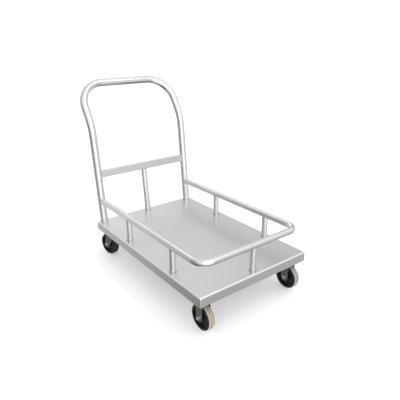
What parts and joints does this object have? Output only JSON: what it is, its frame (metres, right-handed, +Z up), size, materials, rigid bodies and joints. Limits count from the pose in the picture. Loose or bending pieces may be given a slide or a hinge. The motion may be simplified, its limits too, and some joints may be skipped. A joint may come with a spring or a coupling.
{
  "type": "luggage cart",
  "caption": "Low platform cart of folded sheet steel with a tall bent-tube push handle, a guard rail round the deck, and rigid front and swivel rear casters.",
  "frame": {"origin": "on the floor, under the middle of the whole cart's box", "axes": "+X to the front, away from the push handle; +Y to the cart's left; +Z up"},
  "size_m": [1.181, 0.65, 0.98],
  "materials": {
    "sheet_steel": "fine brushed stainless sheet",
    "tube_steel": "polished stainless tube",
    "channel_steel": "plain folded steel",
    "zinc_steel": "dull zinc plate",
    "fastener_steel": "bright zinc plate",
    "bearing_steel": "ground bearing steel",
    "wheel_plastic": "black moulding",
    "tread_rubber": "light grey-beige rubber",
    "bush_plastic": "natural nylon"
  },
  "bodies": {
    "chassis": {"caster_bolts": "fastener_steel", "caster_nuts": "fastener_steel", "caster_washers": "fastener_steel", "deck_panel": "sheet_steel", "frame_bolts": "fastener_steel", "frame_washers": "fastener_steel", "front_axle_bolts": "fastener_steel", "front_axle_nuts": "fastener_steel", "front_axle_sleeves": "fastener_steel", "front_cross_channel": "channel_steel", "front_left_caster_plate": "zinc_steel", "front_left_fork": "zinc_steel", "front_post": "tube_steel", "front_right_caster_plate": "zinc_steel", "front_right_fork": "zinc_steel", "guard_rail": "tube_steel", "handle_crossbar": "sheet_steel", "handle_plugs": "fastener_steel", "handle_strut": "tube_steel", "kingpin_nuts": "fastener_steel", "left_front_post": "tube_steel", "left_rear_post": "tube_steel", "left_stiffener": "channel_steel", "leg_backing_plates": "channel_steel", "post_plugs": "fastener_steel", "push_handle": "tube_steel", "rear_cross_channel": "channel_steel", "rear_left_caster_plate": "zinc_steel", "rear_left_kingpin": "fastener_steel", "rear_left_upper_race": "bearing_steel", "rear_right_caster_plate": "zinc_steel", "rear_right_kingpin": "fastener_steel", "rear_right_upper_race": "bearing_steel", "right_front_post": "tube_steel", "right_rear_post": "tube_steel", "right_stiffener": "channel_steel"},
    "rear_left_caster": {"rear_left_axle_bolt": "fastener_steel", "rear_left_axle_nut": "fastener_steel", "rear_left_axle_sleeve": "fastener_steel", "rear_left_balls": "bearing_steel", "rear_left_fork": "zinc_steel", "rear_left_lower_race": "bearing_steel"},
    "rear_right_caster": {"rear_right_axle_bolt": "fastener_steel", "rear_right_axle_nut": "fastener_steel", "rear_right_axle_sleeve": "fastener_steel", "rear_right_balls": "bearing_steel", "rear_right_fork": "zinc_steel", "rear_right_lower_race": "bearing_steel"},
    "front_left_wheel": {"front_left_hub_bush": "bush_plastic", "front_left_tread": "tread_rubber", "front_left_wheel_core": "wheel_plastic"},
    "front_right_wheel": {"front_right_hub_bush": "bush_plastic", "front_right_tread": "tread_rubber", "front_right_wheel_core": "wheel_plastic"},
    "rear_left_wheel": {"rear_left_hub_bush": "bush_plastic", "rear_left_tread": "tread_rubber", "rear_left_wheel_core": "wheel_plastic"},
    "rear_right_wheel": {"rear_right_hub_bush": "bush_plastic", "rear_right_tread": "tread_rubber", "rear_right_wheel_core": "wheel_plastic"}
  },
  "joints": [
    {"name": "front_left_roll", "type": "hinge", "parent": "chassis", "child": "front_left_wheel", "pos_m": [0.52801, 0.269, 0.0625], "axis": [0, 1, 0], "continuous": true},
    {"name": "front_right_roll", "type": "hinge", "parent": "chassis", "child": "front_right_wheel", "pos_m": [0.52801, -0.269, 0.0625], "axis": [0, 1, 0], "continuous": true},
    {"name": "rear_left_swivel", "type": "hinge", "parent": "chassis", "child": "rear_left_caster", "pos_m": [-0.32399, 0.269, 0.136], "axis": [0, 0, 1], "continuous": true},
    {"name": "rear_left_roll", "type": "hinge", "parent": "rear_left_caster", "child": "rear_left_wheel", "pos_m": [-0.36162, 0.26371, 0.0625], "axis": [-0.1392, 0.9903, 0], "continuous": true},
    {"name": "rear_right_swivel", "type": "hinge", "parent": "chassis", "child": "rear_right_caster", "pos_m": [-0.32399, -0.269, 0.136], "axis": [0, 0, 1], "continuous": true},
    {"name": "rear_right_roll", "type": "hinge", "parent": "rear_right_caster", "child": "rear_right_wheel", "pos_m": [-0.36119, -0.27677, 0.0625], "axis": [-0.2045, 0.9789, 0], "continuous": true}
  ]
}
